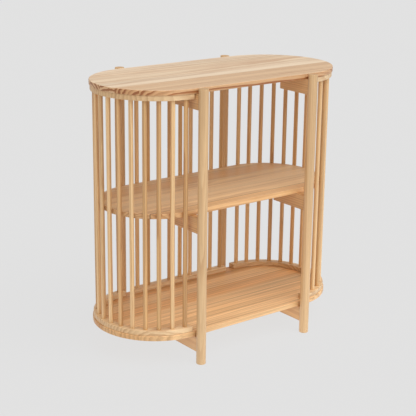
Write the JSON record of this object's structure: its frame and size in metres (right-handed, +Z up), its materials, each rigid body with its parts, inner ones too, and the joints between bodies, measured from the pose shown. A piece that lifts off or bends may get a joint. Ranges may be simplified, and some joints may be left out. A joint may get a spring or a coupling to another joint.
{
  "type": "spindle display shelf",
  "caption": "Free-standing wooden display shelf with half-round ends: two boards joined by a cage of round spindles, a shelf inside the cage, round legs outside and an open front.",
  "frame": {"origin": "on the floor, under the middle of the boards", "axes": "+Z up, +X along the long sides of the boards, -Y towards the open front"},
  "size_m": [0.8, 0.439, 0.8],
  "materials": {
    "board_wood": "clear matt lacquer on glued pale staves",
    "leg_wood": "clear matt lacquer on turned pale wood",
    "block_wood": "clear matt lacquer on planed pale wood",
    "ring_wood": "clear matt lacquer on sawn and sanded pale wood",
    "spindle_wood": "clear matt lacquer on turned pale wood",
    "dowel_wood": "bare beech",
    "screw_steel": "zinc-plated steel"
  },
  "bodies": {
    "root": {"bottom_board": "board_wood", "middle_shelf": "board_wood", "top_board": "board_wood", "leg_front_left": "leg_wood", "leg_front_right": "leg_wood", "leg_back_left": "leg_wood", "leg_back_right": "leg_wood", "bottom_block_front_left": "block_wood", "bottom_block_front_right": "block_wood", "bottom_block_back_left": "block_wood", "bottom_block_back_right": "block_wood", "middle_block_front_left": "block_wood", "middle_block_front_right": "block_wood", "middle_block_back_left": "block_wood", "middle_block_back_right": "block_wood", "top_block_front_left": "block_wood", "top_block_front_right": "block_wood", "top_block_back_left": "block_wood", "top_block_back_right": "block_wood", "lower_ring_left": "ring_wood", "upper_ring_left": "ring_wood", "lower_ring_right": "ring_wood", "upper_ring_right": "ring_wood", "lower_back_strip": "ring_wood", "upper_back_strip": "ring_wood", "spindle_left_01": "spindle_wood", "spindle_left_02": "spindle_wood", "spindle_left_03": "spindle_wood", "spindle_left_04": "spindle_wood", "spindle_left_05": "spindle_wood", "spindle_left_06": "spindle_wood", "spindle_left_07": "spindle_wood", "spindle_left_08": "spindle_wood", "spindle_left_09": "spindle_wood", "spindle_left_10": "spindle_wood", "spindle_left_11": "spindle_wood", "spindle_left_12": "spindle_wood", "spindle_left_13": "spindle_wood", "spindle_left_14": "spindle_wood", "spindle_right_01": "spindle_wood", "spindle_right_02": "spindle_wood", "spindle_right_03": "spindle_wood", "spindle_right_04": "spindle_wood", "spindle_right_05": "spindle_wood", "spindle_right_06": "spindle_wood", "spindle_right_07": "spindle_wood", "spindle_right_08": "spindle_wood", "spindle_right_09": "spindle_wood", "spindle_right_10": "spindle_wood", "spindle_right_11": "spindle_wood", "spindle_right_12": "spindle_wood", "spindle_right_13": "spindle_wood", "spindle_right_14": "spindle_wood", "back_spindles": "spindle_wood", "bottom_dowels": "dowel_wood", "middle_dowels": "dowel_wood", "top_dowels": "dowel_wood", "block_screws": "screw_steel", "lower_ring_screws": "screw_steel", "upper_ring_screws": "screw_steel"}
  },
  "joints": []
}
